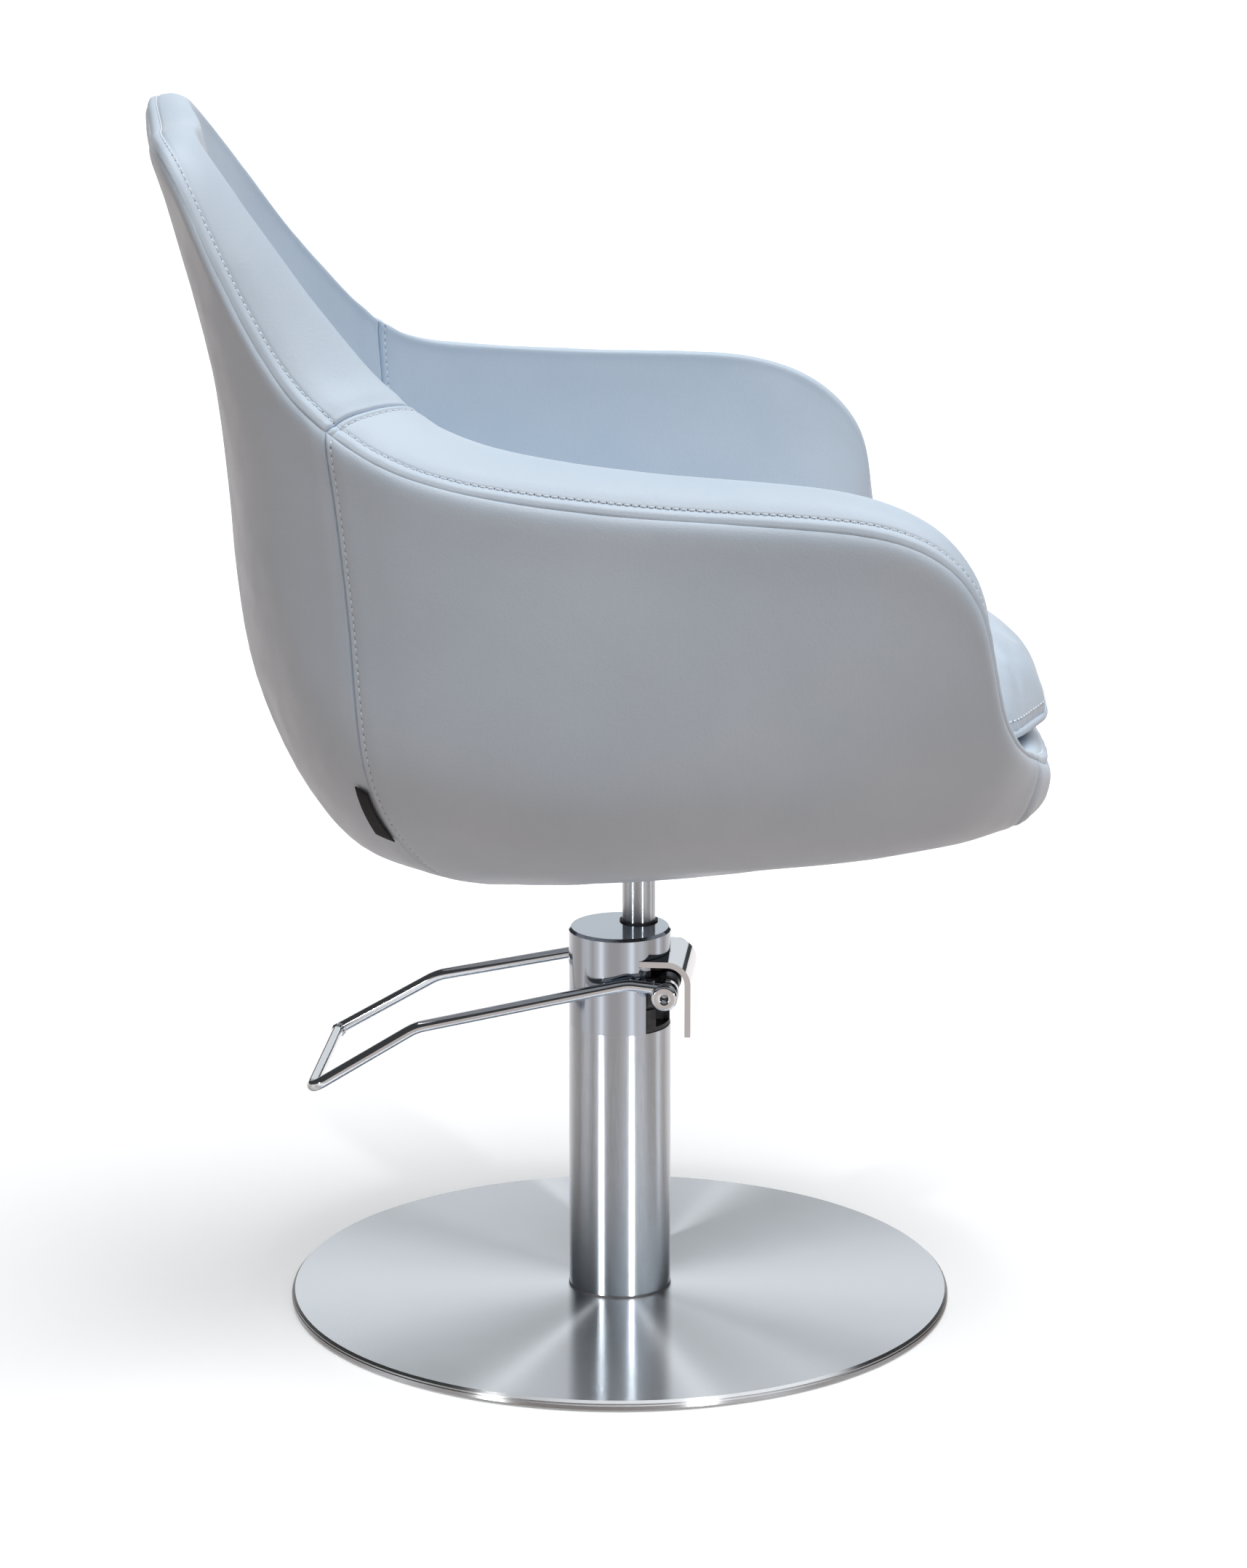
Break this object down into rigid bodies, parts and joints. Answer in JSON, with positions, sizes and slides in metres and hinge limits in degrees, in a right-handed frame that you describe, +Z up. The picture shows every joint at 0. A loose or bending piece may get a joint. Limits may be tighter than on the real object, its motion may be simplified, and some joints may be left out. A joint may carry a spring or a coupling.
{
  "type": "styling chair",
  "caption": "Padded bucket-seat styling chair that swivels and rises on a chromed hydraulic column with a foot pedal and a round steel base.",
  "frame": {"origin": "centre of the base disc on the floor, on the column axis", "axes": "+Z up, the seat faces -Y, its right arm is towards -X"},
  "size_m": [0.682, 0.736, 1.0114],
  "materials": {
    "rubber": "matt",
    "ballast_steel": "satin",
    "brushed_disc": "brushed",
    "zinc_steel": "plated",
    "satin_tube": "satin",
    "polished_chrome": "polished",
    "pump_casting": "painted",
    "bronze": "machined",
    "machined_steel": "machined",
    "seal_black": "smooth",
    "plywood": "raw",
    "shell_core": "moulded",
    "leatherette": "fine grain",
    "deck_cloth": "felt",
    "black_plastic": "matt",
    "tag_cloth": "woven"
  },
  "bodies": {
    "base": {"floor_pad": "rubber", "base_plate": "ballast_steel", "base_cover": "brushed_disc", "base_bolts": "zinc_steel", "column_flange": "ballast_steel", "column_gasket": "seal_black", "column_tube": "satin_tube", "pump_cylinder": "machined_steel", "pump_body": "pump_casting", "head_cover": "polished_chrome", "lever_shroud": "polished_chrome", "shroud_screws": "zinc_steel", "ram_wiper": "seal_black", "guide_bush": "bronze", "pivot_bushes": "bronze", "plunger_spring": "machined_steel"},
    "piston": {"piston_head": "machined_steel", "piston_seal": "seal_black", "thrust_washer": "bronze", "retaining_ring": "zinc_steel"},
    "pedal": {"pedal_loop": "polished_chrome", "pivot_shaft": "machined_steel", "pivot_caps": "polished_chrome", "rocker": "machined_steel", "rocker_key": "zinc_steel"},
    "plunger": {"plunger": "machined_steel", "plunger_seal": "seal_black"},
    "seat": {"ram": "polished_chrome", "ram_hub": "ballast_steel", "mount_plate": "ballast_steel", "mount_bolts": "zinc_steel", "t_nuts": "zinc_steel", "seat_board": "plywood", "underside_cover": "black_plastic", "underside_screws": "zinc_steel", "tub_base": "leatherette", "tub_core": "shell_core", "outer_back_panel": "leatherette", "outer_right_panel": "leatherette", "outer_left_panel": "leatherette", "front_apron": "leatherette", "inner_back_pad": "leatherette", "right_arm_pad": "leatherette", "left_arm_pad": "leatherette", "front_pad": "leatherette", "back_rim": "leatherette", "right_rim": "leatherette", "left_rim": "leatherette", "front_rim": "leatherette", "seat_deck": "deck_cloth", "cushion_board": "plywood", "seat_cushion": "leatherette", "side_tag": "tag_cloth"}
  },
  "joints": [
    {"name": "lift", "type": "slide", "parent": "base", "child": "piston", "axis": [0, 0, 1], "range_m": [0, 0.15]},
    {"name": "swivel", "type": "hinge", "parent": "piston", "child": "seat", "pos_m": [0.01441, -0.01757, 0.4], "axis": [0, 0, 1], "continuous": true},
    {"name": "pedal", "type": "hinge", "parent": "base", "child": "pedal", "pos_m": [-0.00801, -0.04123, 0.28], "axis": [-0.9816, 0.1908, 0], "range_deg": [0, 18], "stiffness_Nm_per_rad": 12, "springref_deg": -14.32},
    {"name": "plunger", "type": "slide", "parent": "base", "child": "plunger", "axis": [0, 0, -1], "range_m": [0, 0.0085], "deforming": ["plunger_spring"]}
  ],
  "couplings": [
    {"joint": "plunger", "follows": "pedal", "m_per_rad": 0.026738}
  ]
}
